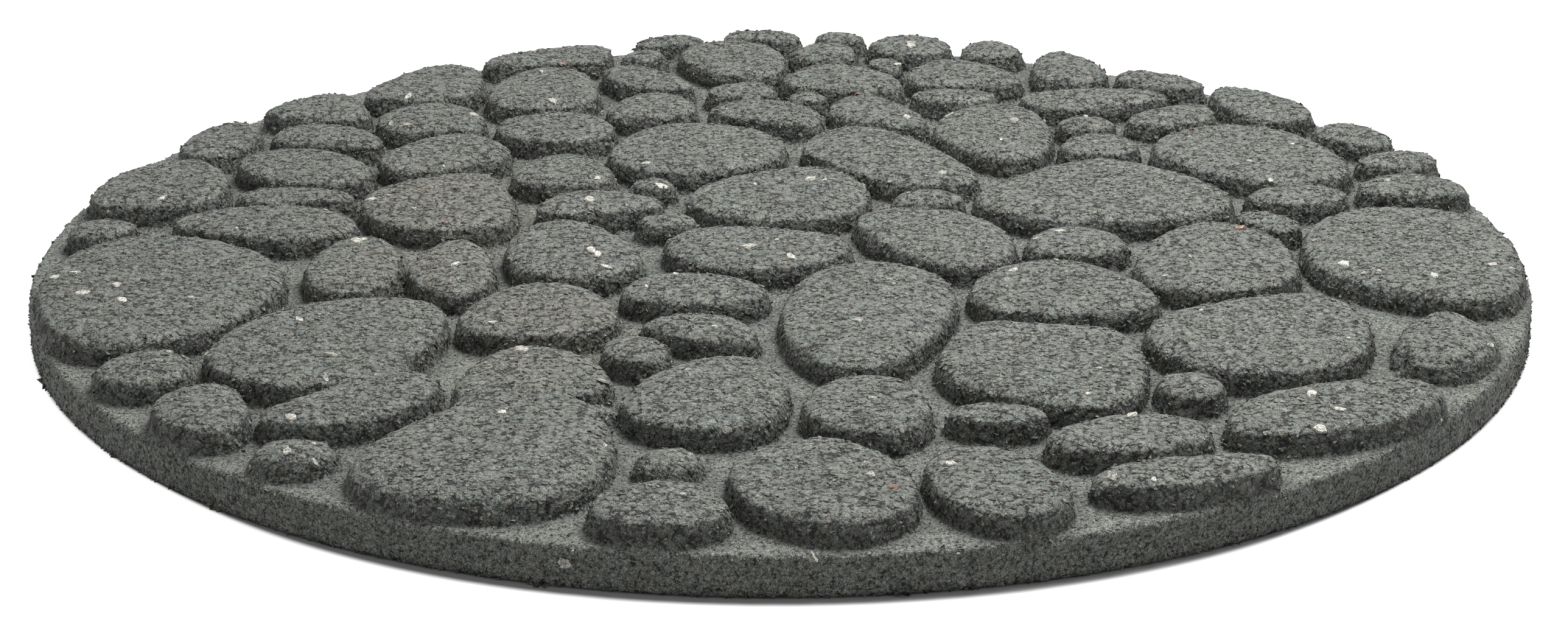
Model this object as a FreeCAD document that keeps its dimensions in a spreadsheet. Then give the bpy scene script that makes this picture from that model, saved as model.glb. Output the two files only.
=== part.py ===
import FreeCAD, Part
import math
import os
import Sketcher

# A round garden stepping stone, pressed in one piece from bonded rubber crumb.
# Raised flat-topped river cobbles stand on a flat slab. Millimetres, +Z up, the origin is the
# middle of the underside, and -Y is the front.

NODE = "stepping_stone"

# Each driving size: alias, millimetres.
SIZES = [
    ("stone_diameter", 457.2),
    ("slab_thickness", 12.0),
    ("cobble_height", 8.0),
    ("shoulder_radius", 2.8),
    ("rim_edge_radius", 1.5),
    ("base_edge_radius", 1.0),
    ("pattern_setback", 4.0),
]

# A wall's curve is drawn by poles. Each stands outside its point by this share of the bend there
# and by a millimetre for the wall's foot, so that the curve runs close to the drawn points.
BEND_SHARE = 0.4
WALL_ALLOWANCE = 1.0
CURVE_DEGREE = 3

# The ring that trims the rim reaches this many diameters, past every cobble.
TRIM_REACH = 1.2

# Heights that agree to this many decimals are one height.
HEIGHT_DIGITS = 3

# The drawn tops of the cobbles, each a closed smooth curve through a few points.
BACK_ROW = [
    [(-199, 82), (-196, 97), (-187, 111), (-178, 106), (-176, 90), (-181, 76), (-192, 73)],
    [(-176, 121), (-172, 132), (-158, 144), (-149, 139), (-141, 119), (-148, 114), (-166, 115)],
    [(-145, 145), (-133, 168), (-120, 181), (-109, 174), (-106, 152), (-114, 139), (-134, 137)],
    [(-106, 184), (-97, 194), (-70, 206), (-63, 198), (-65, 184), (-84, 182), (-99, 178)],
    [(-53, 209), (-47, 215), (-36, 219), (-29, 216), (-31, 210), (-40, 207), (-50, 204)],
    [(-20, 219), (-16, 224), (-2, 225), (6, 219), (6, 211), (1, 209), (-6, 214), (-18, 214)],
    [(13, 218), (18, 222), (26, 221), (31, 216), (28, 211), (22, 213), (15, 213)],
    [(33, 203), (38, 215), (52, 218), (61, 208), (58, 194), (42, 194)],
    [(66, 195), (71, 209), (80, 210), (88, 195), (76, 190)],
    [(91, 170), (95, 192), (104, 196), (114, 178), (113, 160), (98, 157)],
    [(119, 160), (125, 173), (138, 167), (148, 158), (147, 151), (134, 152)],
    [(151, 146), (160, 151), (176, 138), (182, 120), (172, 112), (159, 117)],
    [(180, 100), (190, 110), (201, 101), (204, 87), (196, 84), (185, 91)],
    [(190, 67), (198, 76), (215, 76), (213, 62), (201, 60)],
]

SECOND_ROW = [
    [(-170, 97), (-163, 106), (-150, 107), (-138, 99), (-134, 87), (-139, 82), (-150, 85), (-166, 88)],
    [(-137, 114), (-130, 128), (-116, 133), (-105, 122), (-101, 105), (-114, 101), (-130, 101)],
    [(-132, 71), (-121, 89), (-107, 97), (-93, 86), (-92, 70), (-106, 62), (-121, 55)],
    [(-101, 142), (-96, 165), (-82, 177), (-70, 169), (-65, 148), (-69, 130), (-94, 128)],
    [(-57, 191), (-51, 200), (-43, 196), (-43, 188), (-53, 185)],
    [(-36, 193), (-29, 207), (-16, 210), (-2, 201), (1, 178), (-6, 165), (-24, 172)],
    [(4, 195), (10, 204), (19, 209), (26, 202), (25, 188), (12, 186)],
    [(32, 185), (36, 190), (42, 185), (43, 178), (39, 175), (34, 179)],
    [(46, 164), (51, 181), (62, 186), (78, 176), (85, 160), (72, 154), (52, 155)],
    [(-63, 171), (-56, 178), (-41, 171), (-31, 153), (-40, 150), (-54, 155)],
    [(-26, 146), (-18, 156), (-6, 158), (-2, 146), (-12, 140)],
    [(1, 161), (10, 177), (22, 179), (38, 169), (42, 152), (34, 146), (10, 152)],
    [(83, 138), (92, 146), (115, 150), (132, 145), (132, 136), (113, 130), (97, 124)],
    [(119, 112), (124, 122), (142, 132), (148, 124), (144, 111), (127, 107)],
    [(125, 80), (131, 96), (150, 107), (172, 98), (185, 66), (178, 48), (150, 48), (131, 65)],
    [(94, 109), (102, 118), (113, 112), (110, 103), (99, 103)],
    [(94, 85), (102, 97), (113, 96), (119, 83), (110, 75), (97, 77)],
]

MIDDLE_ROWS = [
    [(-96, 105), (-86, 119), (-68, 121), (-57, 106), (-62, 91), (-84, 90)],
    [(-59, 126), (-49, 144), (-37, 143), (-29, 125), (-39, 116), (-55, 117)],
    [(-25, 124), (-12, 136), (4, 133), (14, 118), (10, 107), (-10, 115)],
    [(3, 143), (8, 147), (14, 144), (16, 138), (12, 135), (5, 137)],
    [(17, 123), (23, 140), (35, 140), (49, 115), (44, 105), (27, 112)],
    [(45, 143), (58, 149), (72, 146), (74, 138), (58, 132)],
    [(53, 104), (61, 124), (76, 131), (89, 117), (88, 79), (74, 70), (58, 86)],
    [(-56, 80), (-44, 104), (-28, 109), (-6, 99), (1, 81), (-9, 62), (-32, 55), (-50, 63)],
    [(8, 82), (17, 101), (33, 103), (52, 79), (64, 50), (51, 43), (34, 46), (18, 66)],
    [(-28, 31), (-19, 48), (4, 60), (18, 57), (28, 35), (20, 14), (0, 8), (-21, 14)],
    [(-87, 55), (-77, 72), (-65, 73), (-54, 52), (-64, 42), (-81, 45)],
    [(-76, 22), (-66, 36), (-46, 33), (-37, 22), (-52, 15), (-71, 14)],
    [(-49, 43), (-41, 51), (-34, 44), (-41, 38)],
    [(-45, 8), (-35, 14), (-27, 10), (-29, 3), (-40, 2)],
    [(-35, -16), (-25, 0), (-8, -1), (15, -6), (20, -22), (3, -36), (-22, -36)],
    [(24, 4), (33, 18), (52, 17), (66, 3), (71, -20), (60, -36), (41, -28)],
    [(36, 30), (45, 38), (57, 33), (55, 24), (41, 24)],
    [(64, 23), (70, 43), (95, 65), (112, 67), (138, 44), (141, 21), (122, 8), (86, 7)],
]

SIDES = [
    [(-219, 33), (-213, 57), (-194, 70), (-181, 53), (-180, 30), (-196, 21), (-214, 23)],
    [(-178, 66), (-167, 79), (-148, 78), (-134, 58), (-138, 45), (-162, 47)],
    [(-173, 32), (-165, 39), (-146, 38), (-137, 34), (-138, 28), (-150, 26), (-168, 26)],
    [(-190, 5), (-178, 17), (-160, 21), (-144, 18), (-132, 4), (-142, -9), (-166, -8)],
    [(-220, 2), (-210, 9), (-200, 2), (-206, -7), (-217, -9)],
    [(-219, -38), (-206, -14), (-186, -8), (-158, -25), (-149, -55), (-165, -90), (-194, -101), (-213, -78)],
    [(-142, -36), (-138, -18), (-129, -8), (-119, -16), (-115, -38), (-121, -56), (-136, -56)],
    [(-111, -42), (-107, -22), (-100, -11), (-92, -18), (-86, -46), (-96, -61)],
    [(-132, 25), (-124, 43), (-101, 55), (-91, 45), (-84, 14), (-94, 0), (-120, 2)],
    [(186, 40), (196, 52), (212, 51), (220, 38), (212, 32), (192, 34)],
    [(148, 30), (160, 41), (176, 40), (180, 30), (166, 22)],
    [(142, 12), (149, 16), (157, 12), (162, 3), (156, -3), (149, 3)],
    [(161, -22), (168, 5), (188, 19), (217, 10), (223, -26), (214, -62), (190, -61), (167, -45)],
    [(107, -36), (119, -6), (134, 5), (151, -7), (155, -37), (146, -52), (130, -57), (115, -53)],
    [(76, -14), (85, 0), (99, -2), (106, -17), (96, -25), (80, -24)],
]

FRONT_ROWS = [
    [(-83, -14), (-73, 5), (-60, 4), (-43, -24), (-50, -42), (-75, -42)],
    [(-46, -56), (-37, -43), (-14, -45), (-4, -60), (-18, -69), (-39, -66)],
    [(-92, -80), (-82, -56), (-63, -51), (-48, -75), (-56, -92), (-84, -93)],
    [(-40, -84), (-23, -76), (-9, -86), (-10, -100), (-30, -94)],
    [(-50, -102), (-45, -95), (-36, -97), (-31, -108), (-37, -116), (-46, -112)],
    [(57, -58), (67, -37), (90, -31), (108, -55), (105, -73), (69, -76)],
    [(106, -88), (117, -73), (136, -65), (154, -60), (168, -76), (161, -113), (127, -125), (109, -106)],
    [(45, -117), (51, -94), (61, -82), (80, -88), (98, -91), (100, -127), (87, -149), (57, -137)],
    [(3, -62), (14, -37), (37, -34), (51, -57), (45, -87), (35, -110), (19, -121), (3, -98)],
    [(7, -146), (15, -129), (32, -127), (40, -150), (32, -167), (13, -162)],
    [(-42, -145), (-31, -120), (-9, -111), (1, -135), (-7, -163), (-33, -160)],
    [(-160, -102), (-146, -73), (-118, -64), (-99, -73), (-103, -111), (-133, -134), (-156, -120)],
    [(-140, -152), (-124, -137), (-103, -124), (-94, -134), (-107, -156), (-132, -162)],
    [(-190, -118), (-177, -104), (-163, -119), (-172, -131), (-186, -128)],
    [(-171, -146), (-157, -131), (-148, -140), (-144, -163), (-158, -165)],
    [(-139, -176), (-133, -169), (-122, -170), (-117, -178), (-124, -185), (-135, -184)],
    [(-112, -189), (-98, -156), (-74, -145), (-51, -151), (-46, -189), (-65, -212), (-98, -206)],
    [(-88, -130), (-80, -107), (-64, -104), (-48, -124), (-53, -139), (-70, -138), (-86, -141)],
    [(-13, -192), (2, -174), (22, -176), (35, -207), (20, -226), (-3, -218)],
    [(-48, -214), (-36, -201), (-22, -202), (-13, -218), (-24, -227), (-41, -225)],
    [(38, -191), (47, -178), (61, -180), (74, -205), (64, -221), (46, -215)],
    [(45, -153), (51, -147), (64, -147), (72, -154), (65, -160), (52, -159)],
    [(-38, -183), (-33, -175), (-25, -175), (-21, -183), (-26, -190), (-34, -190)],
    [(175, -102), (184, -78), (198, -76), (204, -97), (190, -116), (178, -112)],
    [(121, -157), (136, -137), (172, -128), (180, -141), (160, -161), (128, -169)],
    [(71, -170), (86, -157), (109, -156), (112, -175), (80, -180)],
    [(81, -199), (88, -189), (106, -184), (126, -182), (128, -190), (112, -200), (90, -204)],
    [(104, -132), (109, -124), (116, -124), (122, -132), (117, -141), (108, -141)],
]

COBBLE_ROWS = {
    "back_row": BACK_ROW,
    "second_row": SECOND_ROW,
    "middle_rows": MIDDLE_ROWS,
    "sides": SIDES,
    "front_rows": FRONT_ROWS,
}


def make_sheet(document):
    """Put the driving sizes in a sheet, one alias a row."""
    sheet = document.addObject("Spreadsheet::Sheet", "sizes")
    for row, (alias, value) in enumerate(SIZES, start=1):
        sheet.set("A%d" % row, alias)
        sheet.set("B%d" % row, str(value))
        sheet.setAlias("B%d" % row, alias)
    document.recompute()
    return sheet


def curve_poles(outline):
    """The poles of a wall's curve, each pushed out from its drawn point by the bend there."""
    poles = []
    count = len(outline)
    for index, (x, y) in enumerate(outline):
        before = outline[index - 1]
        after = outline[(index + 1) % count]
        along_x = after[0] - before[0]
        along_y = after[1] - before[1]
        bend_x = x - (before[0] + after[0]) / 2
        bend_y = y - (before[1] + after[1]) / 2
        step = WALL_ALLOWANCE / math.hypot(along_x, along_y)
        pole_x = x + BEND_SHARE * bend_x - step * along_y
        pole_y = y + BEND_SHARE * bend_y + step * along_x
        poles.append(FreeCAD.Vector(pole_x, pole_y, 0))
    return poles


def cobble_curve(outline):
    """The closed smooth curve of one cobble's wall."""
    poles = curve_poles(outline)
    knots = list(range(len(poles) + 1))
    curve = Part.BSplineCurve()
    curve.buildFromPolesMultsKnots(poles, [1] * len(knots), knots, True, CURVE_DEGREE)
    return curve


def ground_sketch(body, name):
    """A sketch on the body's own ground plane."""
    ground = [plane for plane in body.Origin.OriginFeatures if plane.Role == "XY_Plane"][0]
    sketch = body.newObject("Sketcher::SketchObject", name)
    sketch.AttachmentSupport = [(ground, "")]
    sketch.MapMode = "FlatFace"
    return sketch


def add_circle(sketch, diameter_expression, start_diameter):
    """A circle about the origin whose diameter follows the sheet."""
    middle = FreeCAD.Vector(0, 0, 0)
    circle = sketch.addGeometry(Part.Circle(middle, FreeCAD.Vector(0, 0, 1), start_diameter / 2))
    sketch.addConstraint(Sketcher.Constraint("Coincident", circle, 3, -1, 1))
    diameter = sketch.addConstraint(Sketcher.Constraint("Diameter", circle, start_diameter))
    sketch.setExpression("Constraints[%d]" % diameter, diameter_expression)


def edges_at_height(shape, height):
    """The names of the edges that lie flat at one height."""
    names = []
    for index, edge in enumerate(shape.Edges, start=1):
        box = edge.BoundBox
        if round(box.ZMin - height, HEIGHT_DIGITS) == 0 == round(box.ZMax - height, HEIGHT_DIGITS):
            names.append("Edge%d" % index)
    return names


def round_edges(body, base, name, height, radius_expression):
    """Round every flat edge that the base feature has at one height."""
    rounded = body.newObject("PartDesign::Fillet", name)
    rounded.Base = (base, edges_at_height(base.Shape, height))
    rounded.setExpression("Radius", radius_expression)
    body.Document.recompute()
    return rounded


def add_slab(body, sheet):
    """The flat slab with its rim edges eased."""
    sketch = ground_sketch(body, "slab_outline")
    add_circle(sketch, "sizes.stone_diameter", sheet.stone_diameter)
    slab = body.newObject("PartDesign::Pad", "slab")
    slab.Profile = sketch
    slab.setExpression("Length", "sizes.slab_thickness")
    body.Document.recompute()
    eased = round_edges(body, slab, "rim_edge", sheet.slab_thickness, "sizes.rim_edge_radius")
    return round_edges(body, eased, "base_edge", 0.0, "sizes.base_edge_radius")


def add_cobbles(body, row_name, outlines):
    """One row of cobbles, rooted below the eased rim edge so that a trimmed one meets the rim."""
    sketch = ground_sketch(body, row_name + "_outlines")
    for outline in outlines:
        curve = sketch.addGeometry(cobble_curve(outline))
        sketch.addConstraint(Sketcher.Constraint("Block", curve))
    sketch.setExpression("AttachmentOffset.Base.y", "sizes.pattern_setback")
    sketch.setExpression("AttachmentOffset.Base.z", "sizes.slab_thickness - sizes.rim_edge_radius")
    row = body.newObject("PartDesign::Pad", row_name)
    row.Profile = sketch
    row.setExpression("Length", "sizes.cobble_height + sizes.rim_edge_radius")
    body.Document.recompute()
    return row


def trim_to_rim(body, sheet):
    """Cut the cobbles that overhang flush with the rim."""
    sketch = ground_sketch(body, "trim_ring")
    add_circle(sketch, "sizes.stone_diameter", sheet.stone_diameter)
    add_circle(sketch, "sizes.stone_diameter * %g" % TRIM_REACH, sheet.stone_diameter * TRIM_REACH)
    trim = body.newObject("PartDesign::Pocket", "trim")
    trim.Profile = sketch
    trim.Type = "ThroughAll"
    trim.Reversed = True
    body.Document.recompute()
    return trim


def make_stone(document, sheet):
    """The whole stone as one body."""
    body = document.addObject("PartDesign::Body", NODE)
    body.Label = NODE
    add_slab(body, sheet)
    for row_name, outlines in COBBLE_ROWS.items():
        last = add_cobbles(body, row_name, outlines)
    top = sheet.slab_thickness + sheet.cobble_height
    round_edges(body, last, "shoulders", top, "sizes.shoulder_radius")
    trim_to_rim(body, sheet)
    return body


def check(document, body):
    """Stop before anything is written where a feature failed."""
    failed = [item.Name for item in document.Objects if {"Invalid", "Error"} & set(item.State)]
    if failed:
        raise RuntimeError("failed features: " + ", ".join(failed))
    if body.Shape.isNull() or not body.Shape.isValid() or len(body.Shape.Solids) != 1:
        raise RuntimeError("the stone is not one valid solid")


document = FreeCAD.newDocument(NODE)
sheet = make_sheet(document)
stone = make_stone(document, sheet)
document.recompute()
check(document, stone)
os.makedirs("parts", exist_ok=True)
stone.Shape.exportStep(os.path.join("parts", NODE + ".step"))
print(NODE, "volume litres", round(stone.Shape.Volume / 1e6, 3), stone.Shape.BoundBox)
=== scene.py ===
import math

import bmesh
import bpy
import numpy as np
from bpy.props import FloatProperty, FloatVectorProperty, IntProperty, PointerProperty
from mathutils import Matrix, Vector, bvhtree, geometry, kdtree, noise


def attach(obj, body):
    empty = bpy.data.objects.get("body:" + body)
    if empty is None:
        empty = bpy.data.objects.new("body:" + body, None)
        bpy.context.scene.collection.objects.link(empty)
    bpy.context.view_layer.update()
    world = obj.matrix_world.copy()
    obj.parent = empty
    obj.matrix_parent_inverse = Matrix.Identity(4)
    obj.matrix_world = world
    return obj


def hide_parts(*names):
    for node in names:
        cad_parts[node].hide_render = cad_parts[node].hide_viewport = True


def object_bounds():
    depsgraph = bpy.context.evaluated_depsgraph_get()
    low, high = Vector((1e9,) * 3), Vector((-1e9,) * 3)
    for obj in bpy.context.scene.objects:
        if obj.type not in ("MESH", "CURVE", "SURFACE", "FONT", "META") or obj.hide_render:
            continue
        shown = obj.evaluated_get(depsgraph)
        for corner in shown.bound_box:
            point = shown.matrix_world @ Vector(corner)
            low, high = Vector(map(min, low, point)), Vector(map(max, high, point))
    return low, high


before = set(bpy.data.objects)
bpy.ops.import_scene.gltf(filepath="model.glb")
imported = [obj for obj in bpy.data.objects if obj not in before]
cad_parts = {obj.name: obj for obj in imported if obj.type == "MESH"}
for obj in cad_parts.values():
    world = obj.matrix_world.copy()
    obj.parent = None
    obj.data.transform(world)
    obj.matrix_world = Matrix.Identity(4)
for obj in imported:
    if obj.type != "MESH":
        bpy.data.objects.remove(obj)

bl_info = {
    "name": "Crumb stepping stone",
    "version": (1, 0, 0),
    "blender": (4, 5, 0),
    "location": "View3D > Sidebar > Stepping stone",
    "description": "A round cobble-faced stepping stone of bonded rubber crumb",
    "category": "Object",
}

NODE = "stepping_stone"
BODY_PIECE = NODE + "_body"
BODY = "root"
MM = 0.001

CAD_LOW, CAD_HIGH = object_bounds()
RIM_RADIUS = CAD_HIGH.x
FLOOR_HEIGHT = 12 * MM
GROUND_GAP = 0.02 * MM
HALF = (0.5, 0.5, 0.5)
CRUMB_VALUES = ("Tint", "Hue", "Height", "Torn", "Dust")


class StoneSettings(bpy.types.PropertyGroup):
    """Sizes and colours of the stone's body."""

    grid: FloatProperty(
        name="Grid", description="Spacing of the body's surface grid",
        default=1.0 * MM, subtype="DISTANCE", precision=5)
    faces: IntProperty(
        name="Faces", description="Triangles left on the body when its flat places are thinned",
        default=190000, min=1000)
    rounding: IntProperty(
        name="Rounding", description="Passes that soften the shoulders",
        default=48, min=0)
    wear: IntProperty(
        name="Wear", description="Further passes that soften the roundest cobbles",
        default=80, min=0)
    fullness: FloatProperty(
        name="Fullness", description="How far the softened walls are swelled back out",
        default=0.8 * MM, subtype="DISTANCE", precision=5)
    sink: FloatProperty(
        name="Sink", description="How far the body lies under the chips that finish it",
        default=0.25 * MM, subtype="DISTANCE", precision=5)
    waviness: FloatProperty(
        name="Waviness", description="Height of the broad unevenness of the cobble tops",
        default=0.35 * MM, subtype="DISTANCE", precision=5)
    wall_relief: FloatProperty(
        name="Wall relief", description="Depth of the open crumb on shoulders and walls",
        default=0.5 * MM, subtype="DISTANCE", precision=5)
    rubber: FloatVectorProperty(
        name="Rubber", description="Colour of the cooler, greenish crumb",
        default=(0.124, 0.14, 0.129), size=3, subtype="COLOR", min=0, max=1)
    earth: FloatVectorProperty(
        name="Earth", description="Colour of the warmer, brownish crumb",
        default=(0.146, 0.14, 0.118), size=3, subtype="COLOR", min=0, max=1)


class CrumbSettings(bpy.types.PropertyGroup):
    """Sizes, spacing and colours of the loose-edged chips."""

    flake: FloatProperty(
        name="Flake", description="Length of a flat flake on a cobble's top",
        default=2.3 * MM, subtype="DISTANCE", precision=5)
    crumb: FloatProperty(
        name="Crumb", description="Length of a crumb on a shoulder or wall",
        default=2.3 * MM, subtype="DISTANCE", precision=5)
    grain: FloatProperty(
        name="Grain", description="Length of a grain on the channel floors",
        default=0.95 * MM, subtype="DISTANCE", precision=5)
    fibre: FloatProperty(
        name="Fibre", description="Length of a shred on the rim",
        default=1.7 * MM, subtype="DISTANCE", precision=5)
    pale: FloatVectorProperty(
        name="Pale", description="Colour of the scattered pale chips",
        default=(0.47, 0.45, 0.4), size=3, subtype="COLOR", min=0, max=1)
    rust: FloatVectorProperty(
        name="Rust", description="Colour of the few reddish chips",
        default=(0.26, 0.16, 0.12), size=3, subtype="COLOR", min=0, max=1)


class StageSettings(bpy.types.PropertyGroup):
    """Floor, light and camera."""

    floor: FloatVectorProperty(
        name="Floor", description="Colour of the floor where the stone shades it",
        default=(0.3, 0.3, 0.3), size=3, subtype="COLOR", min=0, max=1)
    sky: FloatProperty(
        name="Sky", description="Strength of the even light from all round", default=0.5)
    key: FloatProperty(
        name="Key", description="Power of the soft lamp above, in watts", default=10.6)
    lens: FloatProperty(
        name="Lens", description="Focal length on a 36 mm sensor", default=79.9,
        subtype="DISTANCE_CAMERA")


def smooth_step(values, low, high):
    """Zero below low, one above high, and a smooth climb between."""
    share = np.clip((values - low) / (high - low), 0, 1)
    return share * share * (3 - 2 * share)


def read_vectors(items, field):
    """A mesh field of three numbers an item, as rows."""
    flat = np.empty(len(items) * 3, np.float32)
    items.foreach_get(field, flat)
    return flat.reshape(-1, 3).astype(float)


def noise_at(places, wavelength, shift):
    """Smooth noise between about -1 and 1 at each place."""
    spots = places / wavelength + shift
    return np.array([noise.noise(Vector(spot)) for spot in spots])


def finish_piece(name, mesh, material, replaced=False):
    """Put a mesh in the scene as a piece of the stone."""
    piece = bpy.data.objects.new(name, mesh)
    bpy.context.scene.collection.objects.link(piece)
    mesh.materials.clear()
    mesh.materials.append(material)
    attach(piece, BODY)
    if replaced:
        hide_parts(NODE)


def store_values(mesh, name, values):
    """Keep one number a vertex for the materials."""
    mesh.attributes.new(name, "FLOAT", "POINT").data.foreach_set("value", values.astype(np.float32))


def store_colours(mesh, name, colours):
    """Keep one colour a vertex for the materials."""
    full = np.ones((len(colours), 4), np.float32)
    full[:, :3] = colours
    mesh.attributes.new(name, "FLOAT_COLOR", "POINT").data.foreach_set("color", full.ravel())


def add_node(tree, kind, links=None, **fields):
    """A node with its fields and unlinked inputs set, and its inputs linked."""
    node = tree.nodes.new(kind)
    for name, value in fields.items():
        setattr(node, name, value)
    for socket, value in (links or {}).items():
        if isinstance(value, bpy.types.NodeSocket):
            tree.links.new(value, node.inputs[socket])
        else:
            node.inputs[socket].default_value = value
    return node


def maths(tree, operation, first, second=0.0, third=0.0, clamp=False):
    """One sum on two values or three."""
    links = {0: first, 1: second, 2: third}
    return add_node(tree, "ShaderNodeMath", links, operation=operation, use_clamp=clamp).outputs[0]


def vector_maths(tree, operation, first, second):
    """One sum on two vectors."""
    return add_node(tree, "ShaderNodeVectorMath", {0: first, 1: second}, operation=operation)


def ramp(tree, value, low, high, start=0.0, end=1.0):
    """Map a range of a value smoothly to another."""
    links = {"Value": value, "From Min": low, "From Max": high, "To Min": start, "To Max": end}
    return add_node(tree, "ShaderNodeMapRange", links, interpolation_type="SMOOTHSTEP").outputs["Result"]


# A Mix node keeps its values in inputs 2 and 3 and output 0, its colours in inputs 6 and 7 and output 2.
def blend_values(tree, factor, first, second):
    """Mix two values by a factor."""
    links = {0: factor, 2: first, 3: second}
    return add_node(tree, "ShaderNodeMix", links, data_type="FLOAT").outputs[0]


def mix_colour(tree, factor, first, second):
    """Mix two colours by a factor."""
    links = {0: factor, 6: first, 7: second}
    return add_node(tree, "ShaderNodeMix", links, data_type="RGBA").outputs[2]


def opaque(colour):
    """A colour with full alpha."""
    return (*colour, 1.0)


def group_tree(name, inputs, outputs):
    """An empty shader group with named sockets, and its two end nodes."""
    tree = bpy.data.node_groups.new(name, "ShaderNodeTree")
    for socket, kind in inputs.items():
        tree.interface.new_socket(socket, in_out="INPUT", socket_type=kind)
    for socket in outputs:
        tree.interface.new_socket(socket, in_out="OUTPUT", socket_type="NodeSocketFloat")
    return tree, add_node(tree, "NodeGroupInput"), add_node(tree, "NodeGroupOutput")


def noise_value(tree, place, density, detail, roughness):
    """Noise of about so many lumps a metre."""
    links = {"Vector": place, "Scale": density, "Detail": detail, "Roughness": roughness}
    return add_node(tree, "ShaderNodeTexNoise", links)


# The crumb's relief: gaps in shares of a crumb's width, and heights in parts of the relief's depth.
GAP_WIDTH = 0.09
CROWN_HEIGHT = 0.3
STEP_HEIGHT = 0.2
FACE_TILT = 0.8
LUMP_HEIGHT = 1.3
GRAIN_HEIGHT = 2.4

# How many lumps, grains and specks of dust lie along a metre.
LUMP_DENSITY = 620.0
GRAIN_DENSITY = 1000.0
DUST_DENSITY = 3300.0

# How closely the crumbs' outlines wander, as a share of the crumbs' own number to a metre.
WANDER_SHARE = 0.9


def crumb_relief_group():
    """Packed ragged crumbs with torn, grainy faces: their height, and a random tint for each."""
    inputs = {
        "Vector": "NodeSocketVector", "Crumbs per metre": "NodeSocketFloat", "Warp": "NodeSocketFloat",
        "Gap": "NodeSocketFloat"}
    tree, entry, leave = group_tree("crumb_relief", inputs, CRUMB_VALUES)
    place = entry.outputs["Vector"]
    density = entry.outputs["Crumbs per metre"]
    wander_density = maths(tree, "MULTIPLY", density, WANDER_SHARE)
    wander = noise_value(tree, place, wander_density, detail=3.0, roughness=0.6)
    middle = vector_maths(tree, "SUBTRACT", wander.outputs["Color"], HALF).outputs[0]
    drift = add_node(tree, "ShaderNodeVectorMath", {0: middle}, operation="SCALE")
    tree.links.new(entry.outputs["Warp"], drift.inputs["Scale"])
    bent = vector_maths(tree, "ADD", place, drift.outputs[0]).outputs[0]
    packing = {"Vector": bent, "Scale": density}
    cells = add_node(tree, "ShaderNodeTexVoronoi", packing)
    edges = add_node(tree, "ShaderNodeTexVoronoi", packing, feature="DISTANCE_TO_EDGE")
    gap = ramp(tree, edges.outputs["Distance"], 0.0, GAP_WIDTH, start=1.0, end=0.0)
    gap = maths(tree, "MULTIPLY", gap, ramp(tree, wander.outputs["Fac"], low=0.49, high=0.6))
    gap = maths(tree, "MULTIPLY", gap, entry.outputs["Gap"])
    parts = add_node(tree, "ShaderNodeSeparateColor", {"Color": cells.outputs["Color"]})
    away = vector_maths(tree, "SUBTRACT", bent, cells.outputs["Position"]).outputs[0]
    slope = vector_maths(tree, "SUBTRACT", cells.outputs["Color"], HALF).outputs[0]
    tilt = maths(tree, "MULTIPLY", vector_maths(tree, "DOT_PRODUCT", away, slope).outputs["Value"], density)
    crown = ramp(tree, cells.outputs["Distance"], low=0.25, high=0.75, start=CROWN_HEIGHT, end=0.0)
    level = maths(tree, "MULTIPLY", parts.outputs[1], STEP_HEIGHT)
    faces = maths(tree, "ADD", maths(tree, "ADD", crown, level), maths(tree, "MULTIPLY", tilt, FACE_TILT))
    faces = maths(tree, "SUBTRACT", faces, gap)
    lumps = noise_value(tree, place, LUMP_DENSITY, detail=1.5, roughness=0.6).outputs["Fac"]
    grain = noise_value(tree, place, GRAIN_DENSITY, detail=6.0, roughness=0.72).outputs["Fac"]
    # Height feeds the bump; Torn, the same faces with finer grain, also sets the colour, where its low
    # places in hollows and gaps get painted shadow.
    for source, height, name in ((lumps, LUMP_HEIGHT, "Height"), (grain, GRAIN_HEIGHT, "Torn")):
        swing = maths(tree, "MULTIPLY", maths(tree, "SUBTRACT", source, 0.5), height)
        tree.links.new(maths(tree, "ADD", faces, swing), leave.inputs[name])
    dust = noise_value(tree, place, DUST_DENSITY, detail=2.0, roughness=0.7).outputs["Fac"]
    tree.links.new(parts.outputs[0], leave.inputs["Tint"])
    tree.links.new(parts.outputs[2], leave.inputs["Hue"])
    tree.links.new(dust, leave.inputs["Dust"])
    return tree


def use_group(tree, group, place, **values):
    """A group node fed by a place, with its other inputs set."""
    node = add_node(tree, "ShaderNodeGroup", node_tree=group)
    tree.links.new(place, node.inputs["Vector"])
    for name, value in values.items():
        node.inputs[name.replace("_", " ")].default_value = value
    return node


def scaled(tree, colour, factor):
    """A colour made lighter or darker by a factor."""
    node = add_node(tree, "ShaderNodeVectorMath", {0: colour, "Scale": factor}, operation="SCALE")
    return node.outputs[0]


# The painted shadow in the crumb's hollows: how soft its edge is and how much brightness it leaves; then
# the relief's depth and the sheen.
HOLLOW_SOFTNESS = 0.17
PAINTED_HOLLOW_SHADOW = 0.08
RELIEF_DEPTH = 0.8 * MM
SHEEN = 0.4


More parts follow.
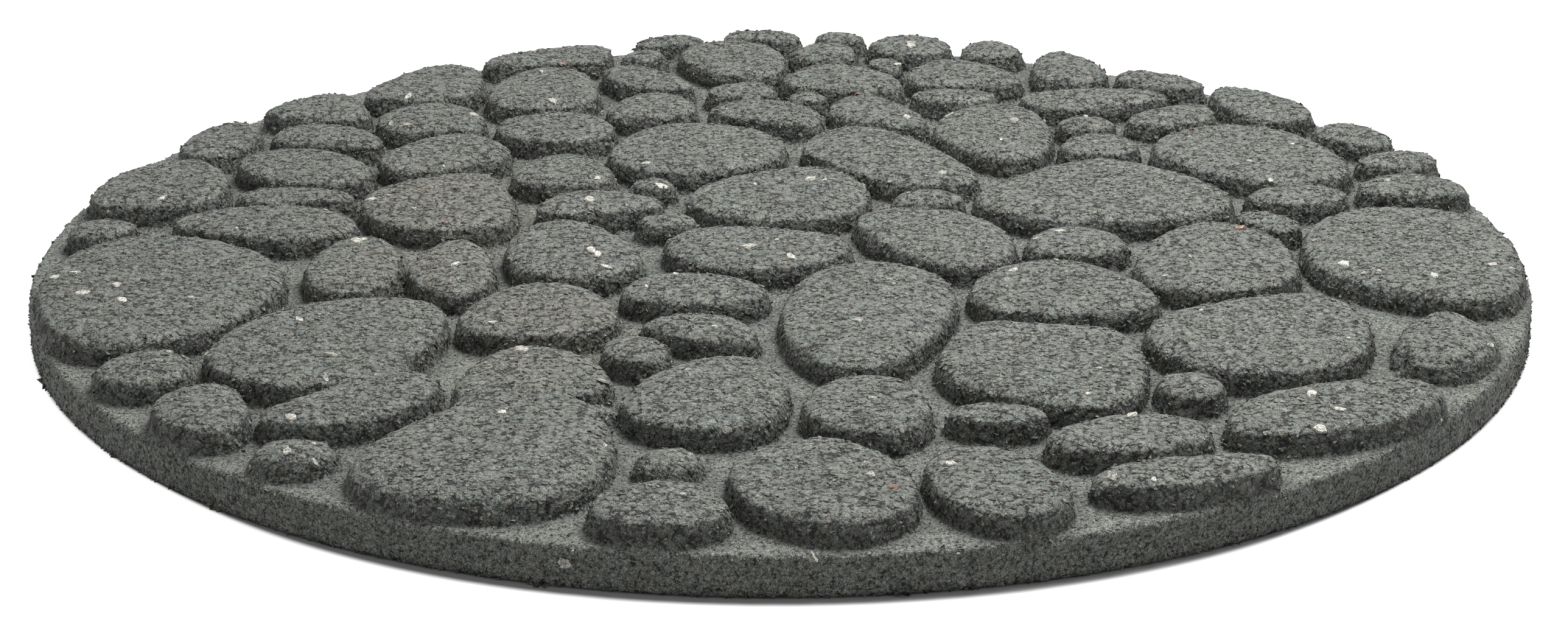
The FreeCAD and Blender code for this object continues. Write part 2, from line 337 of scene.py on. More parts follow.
def crumb_finish(tree, values, colour, hollow, relief):
    """Wire the torn rubber's colour, with painted shadow in its hollows and gaps, its relief and dull sheen
    to the material's shader.
    """
    shader = tree.nodes["Principled BSDF"]
    # Low places of the torn face, in hollows and gaps, are painted dark as shadow, over the crumb's own
    # mottled tint, grain and dust.
    deep = maths(tree, "SUBTRACT", hollow, HOLLOW_SOFTNESS)
    painted_shadow_and_mottling = ramp(tree, values["Torn"], deep, hollow, start=PAINTED_HOLLOW_SHADOW, end=1.0)
    for mottling in (
            ramp(tree, values["Tint"], 0.0, 1.0, start=0.87, end=1.18),
            ramp(tree, values["Torn"], -0.2, 0.9, start=0.65, end=1.4),
            ramp(tree, values["Dust"], 0.32, 0.68, start=0.28, end=1.72)):
        painted_shadow_and_mottling = maths(tree, "MULTIPLY", painted_shadow_and_mottling, mottling)
    tree.links.new(scaled(tree, colour, painted_shadow_and_mottling), shader.inputs["Base Color"])
    links = {"Height": values["Height"], "Strength": relief, "Distance": RELIEF_DEPTH}
    bump = add_node(tree, "ShaderNodeBump", links)
    tree.links.new(bump.outputs["Normal"], shader.inputs["Normal"])
    dullness = ramp(tree, values["Tint"], 0.0, 1.0, start=0.9, end=0.65)
    tree.links.new(dullness, shader.inputs["Roughness"])
    shader.inputs["Specular IOR Level"].default_value = SHEEN


WARM_SHARE = 0.75


def body_material(settings, relief):
    """Bonded crumb: pressed nearly closed on tops, open on walls, finer on floors and rim."""
    material = bpy.data.materials.new("bonded_crumb")
    material.use_nodes = True
    tree = material.node_tree
    place = add_node(tree, "ShaderNodeTexCoord").outputs["Object"]
    wall, fine, tone, earth = (
        add_node(tree, "ShaderNodeAttribute", attribute_name=name).outputs["Fac"]
        for name in ("wall", "fine", "tone", "earth"))
    coarse = use_group(tree, relief, place, Crumbs_per_metre=430.0, Warp=2.4 * MM, Gap=0.25)
    small = use_group(tree, relief, place, Crumbs_per_metre=1000.0, Warp=1.6 * MM, Gap=0.05)
    values = {
        name: blend_values(tree, fine, coarse.outputs[name], small.outputs[name]) for name in CRUMB_VALUES}
    # Walls and rim are more open, with more hollows, which the finish paints dark as shadow.
    openness = ramp(tree, wall, 0.0, 1.0, start=0.13, end=0.19)
    hollow = maths(tree, "ADD", openness, ramp(tree, fine, 0.4, 1.0, start=0.0, end=-0.16))
    warm = maths(tree, "ADD", maths(tree, "MULTIPLY", values["Hue"], WARM_SHARE), earth, clamp=True)
    plain = mix_colour(tree, warm, opaque(settings.rubber), opaque(settings.earth))
    depth = ramp(tree, fine, 0.3, 1.0, start=1.0, end=0.55)
    # The stored tone carries painted shade on the walls and at their feet, and painted light on the open
    # floors and the rim.
    crumb_finish(tree, values, scaled(tree, plain, tone), hollow, depth)
    return material


PALE_REDNESS = (0.2, 0.3)


def chip_material(relief):
    """The chips' own rubber, toned by the colour stored on each and smoother on the pale ones."""
    material = bpy.data.materials.new("crumb_chips")
    material.use_nodes = True
    tree = material.node_tree
    place = add_node(tree, "ShaderNodeTexCoord").outputs["Object"]
    tone = add_node(tree, "ShaderNodeAttribute", attribute_name="chip_colour").outputs["Color"]
    torn = use_group(tree, relief, place, Crumbs_per_metre=700.0, Warp=1.6 * MM, Gap=0.2)
    redness = add_node(tree, "ShaderNodeSeparateColor", {"Color": tone}).outputs[0]
    # Grey chips get painted shadow in their hollows and gaps; the pale ones almost none, and less relief.
    hollow = ramp(tree, redness, *PALE_REDNESS, start=-0.05, end=-0.9)
    depth = ramp(tree, redness, *PALE_REDNESS, start=1.0, end=0.25)
    crumb_finish(tree, torn.outputs, tone, hollow, depth)
    return material


MERGE_DISTANCE = 0.01 * MM


def gridded_copy(grid):
    """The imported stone's surface on an even grid."""
    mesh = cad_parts[NODE].data.copy()
    surface = bmesh.new()
    surface.from_mesh(mesh)
    bmesh.ops.remove_doubles(surface, verts=surface.verts, dist=MERGE_DISTANCE)
    surface.to_mesh(mesh)
    surface.free()
    holder = bpy.data.objects.new("grid_holder", mesh)
    remesh = holder.modifiers.new("even_grid", "REMESH")
    remesh.mode = "VOXEL"
    remesh.voxel_size = grid
    return modified(holder)


def modified(holder):
    """The mesh that a holder's modifiers give, with the holder and its own mesh removed."""
    bpy.context.scene.collection.objects.link(holder)
    graph = bpy.context.evaluated_depsgraph_get()
    made = bpy.data.meshes.new_from_object(holder.evaluated_get(graph))
    source = holder.data
    bpy.data.objects.remove(holder)
    bpy.data.meshes.remove(source)
    made.name = BODY_PIECE
    return made


def thinned(mesh, faces):
    """The same surface with about so many triangles, fewest where it is flat."""
    mesh.calc_loop_triangles()
    holder = bpy.data.objects.new("thin_holder", mesh)
    thin = holder.modifiers.new("thin", "DECIMATE")
    thin.ratio = faces / len(mesh.loop_triangles)
    thin.use_collapse_triangulate = True
    return modified(holder)


def flatten_underside(surface):
    """One flat face in place of the fine grid underneath."""
    reach = RIM_RADIUS - 5 * MM
    level = 0.3 * MM

    def under(face):
        """Whether a face lies on the ground, clear of the rim."""
        return all(v.co.z < level and math.hypot(v.co.x, v.co.y) < reach for v in face.verts)

    bmesh.ops.delete(surface, geom=[f for f in surface.faces if under(f)], context="FACES")
    edge = [e for e in surface.edges if e.is_boundary]
    bmesh.ops.edgeloop_fill(surface, edges=edge)
    bmesh.ops.triangulate(surface, faces=[f for f in surface.faces if len(f.verts) > 4])


# The ends of each crease and its height, in millimetres.
SEAMS = [
    ((-89, -142.5), (-72, -137.5), 19.6), ((-72, -137.5), (-54, -140.5), 19.6),
    ((-54, -140.5), (-46, -146), 19.4), ((-124, -130), (-101, -114), 18.8)]
SEAM_REACH = 8 * MM
SEAM_FOOT = FLOOR_HEIGHT - 1 * MM


def fill_seams(surface):
    """Raise the gap between cobbles that the mould ran together, leaving a shallow crease."""
    for start, end, height in SEAMS:
        first = Vector(start) * MM
        last = Vector(end) * MM
        crease = height * MM
        for vert in surface.verts:
            if SEAM_FOOT < vert.co.z < crease:
                near, share = geometry.intersect_point_line(vert.co.xy, first, last)
                if 0 < share < 1 and (vert.co.xy - near.xy).length < SEAM_REACH:
                    vert.co.z = crease


# The middle and reach of each cobble with the roundest shoulders, in millimetres.
WORN_COBBLES = [(-78, -182, 40), (-30, -181, 14), (-127, -174, 16), (190, -92, 22)]
SHOULDER_FOOT = FLOOR_HEIGHT + 1.5 * MM


def soften(surface, rounding, wear):
    """Round the shoulders, most on the worn cobbles."""
    shoulders = [v for v in surface.verts if v.co.z > SHOULDER_FOOT]
    worn = [
        v for v in shoulders
        if any(math.hypot(v.co.x - x * MM, v.co.y - y * MM) < reach * MM for x, y, reach in WORN_COBBLES)]
    for verts in [shoulders] * rounding + [worn] * wear:
        bmesh.ops.smooth_vert(
            surface, verts=verts, factor=0.5, use_axis_x=True, use_axis_y=True, use_axis_z=True)


def zones(places, facing):
    """How far each place belongs to the tops, walls, floors and rim, from 0 to 1."""
    reach = np.hypot(places[:, 0], places[:, 1])
    up = smooth_step(facing[:, 2], low=0.55, high=0.95)
    high = smooth_step(places[:, 2], FLOOR_HEIGHT + 2.5 * MM, FLOOR_HEIGHT + 5.5 * MM)
    outside = smooth_step(reach, RIM_RADIUS - 2.5 * MM, RIM_RADIUS - 1.2 * MM)
    low = 1 - smooth_step(places[:, 2], FLOOR_HEIGHT - 0.5 * MM, FLOOR_HEIGHT + 1.5 * MM)
    ground = smooth_step(places[:, 2], 0.6 * MM, 1.6 * MM)
    rim = outside * low * (1 - up) * ground
    return {
        "top": up * high,
        "floor": up * (1 - high),
        "rim": rim,
        "wall": (1 - up) * (1 - rim) * ground,
        "ground": ground,
    }


def wall_foot(places, wall):
    """How close each place is to a cobble's wall, from 0 to 1."""
    spots = np.flatnonzero(wall > 0.5)
    finder = kdtree.KDTree(len(spots))
    for spot in spots:
        finder.insert(places[spot], spot)
    finder.balance()
    away = np.array([finder.find(place)[2] for place in places])
    return 1 - smooth_step(away, 0.5 * MM, 6 * MM)


# The middle and spread of each brownish patch, in millimetres.
EARTHY_COBBLES = [(-108, 30, 30), (-112, -32, 22), (-68, -118, 18), (-66, -76, 24)]


def earth_tinge(places):
    """Soft brownish patches on a few cobbles, from 0 to 1."""
    tinge = np.zeros(len(places))
    for x, y, spread in EARTHY_COBBLES:
        away = np.hypot(places[:, 0] - x * MM, places[:, 1] - y * MM)
        tinge = np.maximum(tinge, np.exp(-(away / (spread * MM)) ** 2))
    return tinge * (0.5 + 0.5 * noise_at(places, wavelength=9 * MM, shift=40.0))


LUMP_SHARE = 0.6
FLAT_RELIEF = 0.2 * MM
RIM_RELIEF = 0.45 * MM


def relief_depth(settings, places, zone):
    """How far the crumb stands out of the pressed surface at each place."""
    broad = noise_at(places, wavelength=24 * MM, shift=3.0)
    lumps = noise_at(places, wavelength=6 * MM, shift=11.0)
    crumbs = noise_at(places, wavelength=3.4 * MM, shift=23.0)
    depth = settings.waviness * zone["top"] * broad
    depth += zone["wall"] * (settings.fullness + settings.wall_relief * (LUMP_SHARE * lumps + crumbs))
    depth += FLAT_RELIEF * (zone["top"] + zone["floor"]) * crumbs
    depth += RIM_RELIEF * zone["rim"] * (lumps + crumbs)
    depth -= settings.sink
    return depth * zone["ground"]


# Painted shade and light in the body's tone: walls darker as shade, floors dark as shadow at the walls'
# feet, open floors and rim lighter as light.
PAINTED_WALL_SHADE = 0.3
PAINTED_FLOOR_LIGHT = 0.14
PAINTED_FOOT_SHADOW = 0.42
PAINTED_RIM_LIGHT = 0.15
# How fine the crumb is on the walls and on the tops.
WALL_FINENESS = 0.35
TOP_FINENESS = 0.3


def store_zones(mesh):
    """Keep on the body where its material is open, fine or brownish, and its tone with painted shade and
    painted light.
    """
    places = read_vectors(mesh.vertices, "co")
    zone = zones(places, read_vectors(mesh.vertices, "normal"))
    store_values(mesh, "wall", zone["wall"] + zone["rim"])
    # Closeness to a wall sets the painted shadow on the floors at the walls' feet; the tone is also painted
    # darker on walls and lighter on open floors and rim.
    foot = wall_foot(places, zone["wall"])
    painted_floor_light_and_shade = zone["floor"] * (PAINTED_FLOOR_LIGHT - PAINTED_FOOT_SHADOW * foot)
    store_values(mesh, "tone", 1 - PAINTED_WALL_SHADE * zone["wall"] + painted_floor_light_and_shade + PAINTED_RIM_LIGHT * zone["rim"])
    fine = zone["floor"] + zone["rim"] + WALL_FINENESS * zone["wall"] + TOP_FINENESS * zone["top"]
    store_values(mesh, "fine", np.clip(fine, 0, 1))
    store_values(mesh, "earth", np.clip(earth_tinge(places), 0, 1))


class STONE_OT_body(bpy.types.Operator):
    """Make the stone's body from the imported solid, with its crumb relief"""

    bl_idname = "stone.body"
    bl_label = "Body"

    def execute(self, context):
        settings = context.scene.stone
        mesh = gridded_copy(settings.grid)
        surface = bmesh.new()
        surface.from_mesh(mesh)
        flatten_underside(surface)
        fill_seams(surface)
        soften(surface, settings.rounding, settings.wear)
        surface.to_mesh(mesh)
        surface.free()
        places = read_vectors(mesh.vertices, "co")
        facing = read_vectors(mesh.vertices, "normal")
        depth = relief_depth(settings, places, zones(places, facing))
        moved = places + facing * depth[:, None]
        mesh.vertices.foreach_set("co", moved.astype(np.float32).ravel())
        mesh = thinned(mesh, settings.faces)
        store_zones(mesh)
        for attribute in [a.name for a in mesh.color_attributes]:
            mesh.attributes.remove(mesh.attributes[attribute])
        mesh.shade_smooth()
        material = body_material(settings, crumb_relief_group())
        finish_piece(BODY_PIECE, mesh, material, replaced=True)
        return {"FINISHED"}


# Ranges that a chip's or flake's form is drawn from, as shares of its length, width or thickness.
CHIP_RADII = (0.38, 0.55)
FLAKE_OUTLINE = (0.65, 1.1)
FLAKE_TAPER = (0.72, 0.92)
FLAKE_RISE = (0.8, 1.2)
FLAKE_BASE = 0.01


def angular_chip(draw, corners):
    """A broken chip with a few flat sides, about one long."""
    shape = bmesh.new()
    for corner in draw.normal(size=(corners, 3)):
        shape.verts.new(Vector(corner).normalized() * draw.uniform(*CHIP_RADII))
    hull = bmesh.ops.convex_hull(shape, input=shape.verts)
    spare = [item for item in hull["geom_interior"] if isinstance(item, bmesh.types.BMVert)]
    bmesh.ops.delete(shape, geom=spare, context="VERTS")
    bmesh.ops.recalc_face_normals(shape, faces=shape.faces)
    return taken_apart(shape)


def flat_flake(draw, corners):
    """A pressed flake with a flat angular top and sloping sides, about one long."""
    shape = bmesh.new()
    bmesh.ops.create_circle(shape, cap_ends=True, radius=0.5, segments=corners)
    for corner in shape.verts:
        corner.co *= draw.uniform(*FLAKE_OUTLINE)
    base = shape.faces[:]
    raised = bmesh.ops.extrude_face_region(shape, geom=base)
    top = [item for item in raised["geom"] if isinstance(item, bmesh.types.BMVert)]
    for corner in top:
        corner.co *= draw.uniform(*FLAKE_TAPER)
        corner.co.z += draw.uniform(*FLAKE_RISE)
    hidden = [f for f in shape.faces if f.calc_center_median().z < FLAKE_BASE]
    bmesh.ops.delete(shape, geom=hidden, context="FACES_ONLY")
    bmesh.ops.triangulate(shape, faces=shape.faces)
    bmesh.ops.recalc_face_normals(shape, faces=shape.faces)
    return taken_apart(shape)


def taken_apart(shape):
    """A small shape's corners and triangles as arrays."""
    shape.verts.index_update()
    corners = np.array([v.co[:] for v in shape.verts])
    sides = np.array([[v.index for v in f.verts] for f in shape.faces])
    shape.free()
    return corners, sides


CHIPS_TO_A_SQUARE = 1.2


def scattered(draw, mesh, weight, spacing):
    """Places and directions strewn over a mesh, a little over one to each square of the spacing."""
    mesh.calc_loop_triangles()
    corners = np.empty(len(mesh.loop_triangles) * 3, np.int32)
    mesh.loop_triangles.foreach_get("vertices", corners)
    corners = corners.reshape(-1, 3)
    areas = np.empty(len(mesh.loop_triangles), np.float32)
    mesh.loop_triangles.foreach_get("area", areas)
    places = read_vectors(mesh.vertices, "co")
    facing = read_vectors(mesh.vertices, "normal")
    share = areas * weight[corners].mean(axis=1)
    total = share.sum()
    count = int(CHIPS_TO_A_SQUARE * total / spacing ** 2)
    chosen = draw.choice(len(corners), size=count, p=share / total)
    split = np.sqrt(draw.random(count))
    along = draw.random(count)
    mix = np.stack([1 - split, split * (1 - along), split * along], axis=1)[:, :, None]
    points = (places[corners[chosen]] * mix).sum(axis=1)
    ways = (facing[corners[chosen]] * mix).sum(axis=1)
    ways /= np.linalg.norm(ways, axis=1)[:, None]
    return points, ways


def turned(draw, ways, lean):
    """Axes for each direction: two across, spun at random, and one along, leaning at random."""
    along = ways + lean * draw.normal(size=ways.shape)
    along /= np.linalg.norm(along, axis=1)[:, None]
    across = np.cross(along, draw.normal(size=ways.shape))
    across /= np.linalg.norm(across, axis=1)[:, None]
    return np.stack([across, np.cross(along, across), along], axis=2)


def joined_chips(name, draw, shapes, points, axes, sizes, colours):
    """One mesh of many small chips, each a turned and sized copy of one of the shapes."""
    kinds = draw.integers(len(shapes), size=len(points))
    all_corners, all_sides, all_colours, start = [], [], [], 0
    for kind, (corners, sides) in enumerate(shapes):
        mine = np.flatnonzero(kinds == kind)
        local = corners[None, :, :] * sizes[mine][:, None, :]
        world = np.einsum("nij,nkj->nki", axes[mine], local) + points[mine][:, None, :]
        steps = start + np.arange(len(mine))[:, None, None] * len(corners)
        all_corners.append(world.reshape(-1, 3))
        all_sides.append((sides[None, :, :] + steps).reshape(-1, 3))
        all_colours.append(np.repeat(colours[mine], len(corners), axis=0))
        start += len(mine) * len(corners)
    mesh = bpy.data.meshes.new(name)
    above = np.concatenate(all_corners)
    above[:, 2] = np.maximum(above[:, 2], GROUND_GAP)
    mesh.from_pydata(above, [], np.concatenate(all_sides))
    store_colours(mesh, "chip_colour", np.concatenate(all_colours))
    return mesh


# Ranges that vary the chips' lengths and thicknesses, and the brightness of the pale ones.
LENGTH_SPREAD = (0.35, 1.5)
THICKNESS_SPREAD = (0.7, 1.3)
PALE_SPREAD = (0.6, 1.1)


def chip_sizes(draw, count, length, slimness, thickness):
    """Length, width and thickness of each chip, varied at random."""
    lengths = length * draw.uniform(*LENGTH_SPREAD, count)
    widths = lengths * draw.uniform(*slimness, count)
    depths = thickness * draw.uniform(*THICKNESS_SPREAD, count)
    return np.stack([lengths, widths, depths], 1)


def chip_tones(draw, context, count, spread, pale_share, rust_share):
    """A grey for most chips, and the pale or reddish colour for a few."""
    stone, crumb = context.scene.stone, context.scene.stone_crumb
    warmth = draw.random(count)[:, None]
    tones = np.array(stone.rubber) * (1 - warmth) + np.array(stone.earth) * warmth
    tones *= draw.uniform(*spread, count)[:, None]
    luck = draw.random(count)[:, None]
    pale = np.array(crumb.pale) * draw.uniform(*PALE_SPREAD, count)[:, None]
    tones = np.where(luck < pale_share, pale, tones)
    return np.where(luck > 1 - rust_share, np.array(crumb.rust), tones)


def body_mesh():
    """The body's mesh, which the chips are spread over."""
    return bpy.data.objects[BODY_PIECE].data


def chips_material():
    """The chips' material, made once."""
    return bpy.data.materials.get("crumb_chips") or chip_material(bpy.data.node_groups["crumb_relief"])


def body_zones(mesh):
    """The zones of the finished body."""
    return zones(read_vectors(mesh.vertices, "co"), read_vectors(mesh.vertices, "normal"))


def strewn(context, make_shape, length, *, zone, seed, spacing, sunk, corners, slimness, thickness, lean,
           spread, pale_share, rust_share):
    """Chips of one kind over a zone of the body, led by the random source that they came from."""
    draw = np.random.default_rng(seed)
    mesh = body_mesh()
    points, ways = scattered(draw, mesh, body_zones(mesh)[zone], spacing)
    shapes = [make_shape(draw, number) for number in corners]
    sizes = chip_sizes(draw, len(points), length, slimness, thickness)
    axes = turned(draw, ways, lean)
    colours = chip_tones(draw, context, len(points), spread, pale_share, rust_share)
    return draw, shapes, points - ways * sunk, axes, sizes, colours


def finish_chips(name, draw, shapes, points, axes, sizes, colours):
    """Join chips and put them in the scene as one piece."""
    chips = joined_chips(name, draw, shapes, points, axes, sizes, colours)
    finish_piece(name, chips, chips_material())


PALE_FLAKE_GROWTH = 1.8


class STONE_OT_top_flakes(bpy.types.Operator):
    """Lay pressed flakes over the cobble tops"""

    bl_idname = "stone.top_flakes"
    bl_label = "Top flakes"

    def execute(self, context):
        draw, shapes, points, axes, sizes, colours = strewn(
            context, flat_flake, context.scene.stone_crumb.flake, zone="top", seed=101, spacing=3.6 * MM,
            sunk=0.0, corners=(4, 5, 5, 6), slimness=(0.4, 0.8), thickness=0.28 * MM, lean=0.09,
            spread=(0.8, 1.3), pale_share=0.01, rust_share=0.001)
        pale = colours[:, 0] > 2 * context.scene.stone.rubber[0]
        sizes[pale] *= PALE_FLAKE_GROWTH
        finish_chips("top_flakes", draw, shapes, points, axes, sizes, colours)
        return {"FINISHED"}


class STONE_OT_wall_crumb(bpy.types.Operator):
    """Cover shoulders and walls with open crumb, in two halves"""

    bl_idname = "stone.wall_crumb"
    bl_label = "Wall crumb"

    def execute(self, context):
        draw, shapes, points, axes, sizes, colours = strewn(
            context, angular_chip, context.scene.stone_crumb.crumb, zone="wall", seed=202, spacing=1.7 * MM,
            sunk=0.25 * MM, corners=(6, 6, 7, 7), slimness=(0.5, 0.9), thickness=1.4 * MM, lean=0.36,
            spread=(0.5, 1.35), pale_share=0.002, rust_share=0.0005)
        back = points[:, 1] > 0
        for name, half in (("wall_crumb_back", back), ("wall_crumb_front", ~back)):
            finish_chips(name, draw, shapes, points[half], axes[half], sizes[half], colours[half])
        return {"FINISHED"}


class STONE_OT_floor_grains(bpy.types.Operator):
    """Sprinkle fine grains over the channel floors"""

    bl_idname = "stone.floor_grains"
    bl_label = "Floor grains"

    def execute(self, context):
        grains = strewn(
            context, angular_chip, context.scene.stone_crumb.grain, zone="floor", seed=303,
            spacing=2.0 * MM, sunk=0.0, corners=(6, 7), slimness=(0.5, 0.9), thickness=0.45 * MM, lean=0.25,
            spread=(0.75, 1.2), pale_share=0.003, rust_share=0.001)
        finish_chips("floor_grains", *grains)
        return {"FINISHED"}


class STONE_OT_rim_shreds(bpy.types.Operator):
    """Cover the rim with short woolly shreds"""

    bl_idname = "stone.rim_shreds"
    bl_label = "Rim shreds"

    def execute(self, context):
        shreds = strewn(
            context, angular_chip, context.scene.stone_crumb.fibre, zone="rim", seed=404, spacing=1.5 * MM,
            sunk=0.0, corners=(6, 7, 7), slimness=(0.3, 0.5), thickness=0.55 * MM, lean=0.8,
            spread=(0.8, 1.4), pale_share=0.002, rust_share=0.0005)
        finish_chips("rim_shreds", *shreds)
        return {"FINISHED"}


# The fringe's shreds: their number, how far in they stand, and their heights and sizes in millimetres.
FRINGE_SHREDS = 2400
FRINGE_INSET = 0.9 * MM
FRINGE_HEIGHTS = (0.3, 1.8)
FRINGE_SIZES = ((0.9, 2.2), (0.7, 1.4), (1.4, 3.0))

# Places on the rim with a tuft of long shreds, in millimetres, and the tufts' make-up.
TORN_PLACES = [
    (-184.5, -139.2), (-213.4, -83.8), (-150, -172), (-60, -220), (30, -226), (165, 158), (-205, 100)]
TUFT_SHREDS = 5
TUFT_SPREAD = 0.006
TUFT_GROWTH = 2.2


class STONE_OT_rim_fringe(bpy.types.Operator):
    """Fringe the rim's lower edge with torn shreds, a few of them long"""

    bl_idname = "stone.rim_fringe"
    bl_label = "Rim fringe"

    def execute(self, context):
        draw = np.random.default_rng(seed=505)
        torn = np.array(TORN_PLACES)
        tufts = np.repeat(np.arctan2(torn[:, 1], torn[:, 0]), TUFT_SHREDS)
        angles = np.concatenate([
            draw.uniform(0, math.tau, FRINGE_SHREDS), tufts + draw.normal(0, TUFT_SPREAD, len(tufts))])
        count = len(angles)
        ways = np.stack([np.cos(angles), np.sin(angles), np.zeros(count)], 1)
        points = ways * (RIM_RADIUS - FRINGE_INSET)
        points[:, 2] = draw.uniform(*FRINGE_HEIGHTS, count) * MM
        sizes = np.stack([draw.uniform(*span, count) for span in FRINGE_SIZES], 1) * MM
        sizes[FRINGE_SHREDS:] *= TUFT_GROWTH
        shapes = [angular_chip(draw, corners) for corners in (7, 7, 8)]
        axes = turned(draw, ways, lean=0.45)
        colours = chip_tones(draw, context, count, spread=(0.6, 0.95), pale_share=0.0, rust_share=0.0)
        finish_chips("rim_fringe", draw, shapes, points, axes, sizes, colours)
        return {"FINISHED"}


# The place and length of each of the largest pale chips, in millimetres.
PALE_PLACES = [
    (-54.6, -224, 7, 5.0), (7.8, -228.6, 12, 4.5), (-120, -182, 18, 5.5), (-14, -162, 19, 4.0),
    (-82.5, -115, 20, 3.2), (-25.6, -121.6, 20, 3.2), (-23, -177, 19, 3.2), (22, -189, 20, 4.2),
    (22, -82, 20, 4.6), (180, -141, 12, 4.0)]
PALE_WIDTHS = (0.6, 0.8)
PALE_THICKNESS = 0.5


class STONE_OT_pale_chips(bpy.types.Operator):
    """Set the largest pale chips where they show most"""

    bl_idname = "stone.pale_chips"
    bl_label = "Pale chips"

    def execute(self, context):
        draw = np.random.default_rng(seed=606)
        surface = bmesh.new()
        surface.from_mesh(body_mesh())
        finder = bvhtree.BVHTree.FromBMesh(surface)
        found = [finder.find_nearest(Vector(place[:3]) * MM) for place in PALE_PLACES]
        surface.free()
        points = np.array([spot[0] for spot in found])
        ways = np.array([spot[1] for spot in found])
        count = len(points)
        lengths = np.array(PALE_PLACES)[:, 3:] * MM
        widths = draw.uniform(*PALE_WIDTHS, count)
        sizes = lengths * np.stack([np.ones(count), widths, np.full(count, PALE_THICKNESS)], 1)
        shapes = [angular_chip(draw, corners) for corners in (9, 10, 11)]
        colours = chip_tones(draw, context, count, spread=(1.0, 1.0), pale_share=1.0, rust_share=0.0)
        axes = turned(draw, ways, lean=0.2)
        finish_chips("pale_chips", draw, shapes, points, axes, sizes, colours)
        return {"FINISHED"}


FLOOR_SIZE = 6.0
CAMERA_PLACE = (0.0, -1.01845, 0.36948)
CAMERA_TURN = (69.492, 0.009, -0.064)
SENSOR_WIDTH = 36.0
KEY_PLACE = (0.2, 0.09, 0.8)
KEY_SIZE = 0.4
WHITE = (1, 1, 1, 1)

# The open floor's brightness to the eye, where its white begins and is full, and how much further in front.
FLOOR_GLOW = 0.9
FRONT_SHARE = 0.65
WHITE_START = RIM_RADIUS - 1 * MM
WHITE_END = RIM_RADIUS + 0.5 * MM
FRONT_START = 3 * MM
FRONT_END = 5 * MM


def seen_ray(tree):
    """One for rays from the camera, and those it sees in gloss or through glass."""
    path = add_node(tree, "ShaderNodeLightPath").outputs
    mirrored = maths(tree, "MAXIMUM", path["Is Glossy Ray"], path["Is Transmission Ray"])
    return maths(tree, "MAXIMUM", path["Is Camera Ray"], mirrored)


def white_floor(tree):
    """The white of the open floor, which leaves the stone's shadow in front of it to show."""
    place = add_node(tree, "ShaderNodeTexCoord").outputs["Object"]
    away = add_node(tree, "ShaderNodeVectorMath", {0: place}, operation="LENGTH").outputs["Value"]
    depth = add_node(tree, "ShaderNodeSeparateXYZ", {0: place}).outputs["Y"]
    front = ramp(tree, depth, -RIM_RADIUS, -FRONT_SHARE * RIM_RADIUS, start=1.0, end=0.0)
    inner = maths(tree, "MULTIPLY_ADD", front, FRONT_START, WHITE_START)
    outer = maths(tree, "MULTIPLY_ADD", front, FRONT_END, WHITE_END)
    return ramp(tree, away, inner, outer, start=0.0, end=FLOOR_GLOW)


def set_floor(scene, colour):
    """Lay the floor, white where it is open and shaded by the stone in front."""
    plane = bmesh.new()
    bmesh.ops.create_grid(plane, x_segments=1, y_segments=1, size=FLOOR_SIZE / 2)
    mesh = bpy.data.meshes.new("floor")
    plane.to_mesh(mesh)
    plane.free()
    floor = bpy.data.objects.new("floor", mesh)
    scene.collection.objects.link(floor)
    material = bpy.data.materials.new("pale_floor")
    material.use_nodes = True
    tree = material.node_tree
    shader = tree.nodes["Principled BSDF"]
    shader.inputs["Base Color"].default_value = opaque(colour)
    shader.inputs["Roughness"].default_value = 1.0
    shader.inputs["Specular IOR Level"].default_value = 0.0
    shader.inputs["Emission Color"].default_value = WHITE
    glow = maths(tree, "MULTIPLY", seen_ray(tree), white_floor(tree))
    tree.links.new(glow, shader.inputs["Emission Strength"])
    mesh.materials.append(material)


def set_sky(scene, strength):
    """Light the stone evenly from all round, before a background that looks white."""
    world = bpy.data.worlds.new("studio")
    world.use_nodes = True
    tree = world.node_tree
    sky = tree.nodes["Background"]
    tree.links.new(ramp(tree, seen_ray(tree), 0.0, 1.0, strength, 1.0), sky.inputs["Strength"])
    sky.inputs["Color"].default_value = WHITE
    scene.world = world


def set_key(scene, power):
    """Hang the soft lamp above the stone, facing it."""
    lamp = bpy.data.lights.new("key", "AREA")
    lamp.shape = "DISK"
    lamp.size = KEY_SIZE
    lamp.energy = power
    key = bpy.data.objects.new("key", lamp)
    key.location = KEY_PLACE
    key.rotation_euler = Vector(KEY_PLACE).to_track_quat("Z", "Y").to_euler()
    scene.collection.objects.link(key)


def set_camera(scene, focal_length):
    """Place the camera where the photograph was taken from."""
    lens = bpy.data.cameras.new("camera")
    lens.lens = focal_length
    lens.sensor_width = SENSOR_WIDTH
    camera = bpy.data.objects.new("camera", lens)
    camera.location = CAMERA_PLACE
    camera.rotation_euler = [math.radians(angle) for angle in CAMERA_TURN]
    scene.collection.objects.link(camera)
    scene.camera = camera


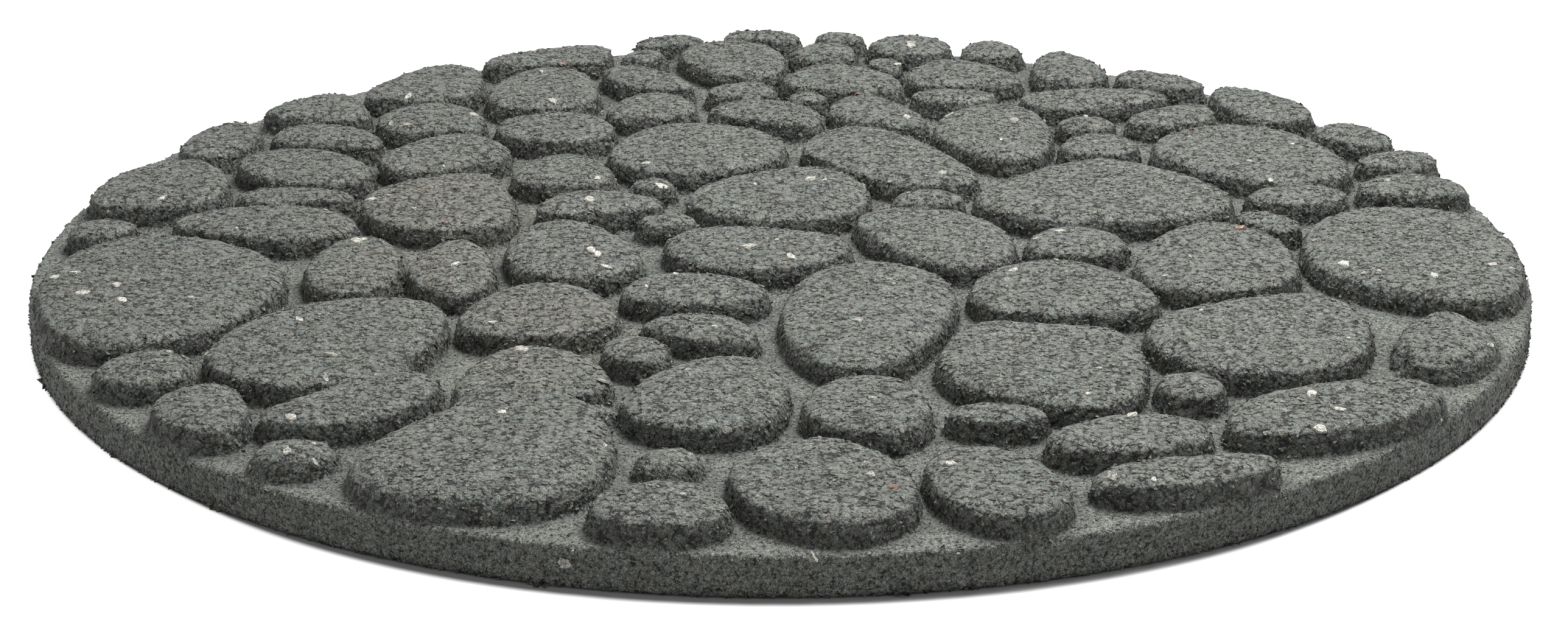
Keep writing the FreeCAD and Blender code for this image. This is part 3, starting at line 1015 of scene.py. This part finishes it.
class STONE_OT_stage(bpy.types.Operator):
    """Set the pale floor, the soft light and the camera"""

    bl_idname = "stone.stage"
    bl_label = "Stage"

    def execute(self, context):
        scene = context.scene
        settings = scene.stone_stage
        set_floor(scene, settings.floor)
        set_sky(scene, settings.sky)
        set_key(scene, settings.key)
        set_camera(scene, settings.lens)
        scene.view_settings.view_transform = "Standard"
        return {"FINISHED"}


class STONE_PT_panel(bpy.types.Panel):
    """Lists the stone's pieces and its stage"""

    bl_label = "Stepping stone"
    bl_idname = "STONE_PT_panel"
    bl_space_type = "VIEW_3D"
    bl_region_type = "UI"
    bl_category = "Stepping stone"

    def draw(self, context):
        for step in STEPS:
            self.layout.operator(step.bl_idname)
        for group in (context.scene.stone, context.scene.stone_crumb, context.scene.stone_stage):
            for name in group.__annotations__:
                self.layout.prop(group, name)


STEPS = (
    STONE_OT_body,
    STONE_OT_top_flakes,
    STONE_OT_wall_crumb,
    STONE_OT_floor_grains,
    STONE_OT_rim_shreds,
    STONE_OT_rim_fringe,
    STONE_OT_pale_chips,
    STONE_OT_stage,
)
CLASSES = (StoneSettings, CrumbSettings, StageSettings, *STEPS, STONE_PT_panel)


def register():
    """Add the classes and the settings to Blender."""
    for item in CLASSES:
        bpy.utils.register_class(item)
    bpy.types.Scene.stone = PointerProperty(type=StoneSettings)
    bpy.types.Scene.stone_crumb = PointerProperty(type=CrumbSettings)
    bpy.types.Scene.stone_stage = PointerProperty(type=StageSettings)


def unregister():
    """Take the classes and the settings out of Blender."""
    del bpy.types.Scene.stone_stage
    del bpy.types.Scene.stone_crumb
    del bpy.types.Scene.stone
    for item in reversed(CLASSES):
        bpy.utils.unregister_class(item)


def main():
    """Make every piece and the stage."""
    register()
    bpy.ops.stone.body()
    bpy.ops.stone.top_flakes()
    bpy.ops.stone.wall_crumb()
    bpy.ops.stone.floor_grains()
    bpy.ops.stone.rim_shreds()
    bpy.ops.stone.rim_fringe()
    bpy.ops.stone.pale_chips()
    bpy.ops.stone.stage()


if __name__ == "__main__":
    main()
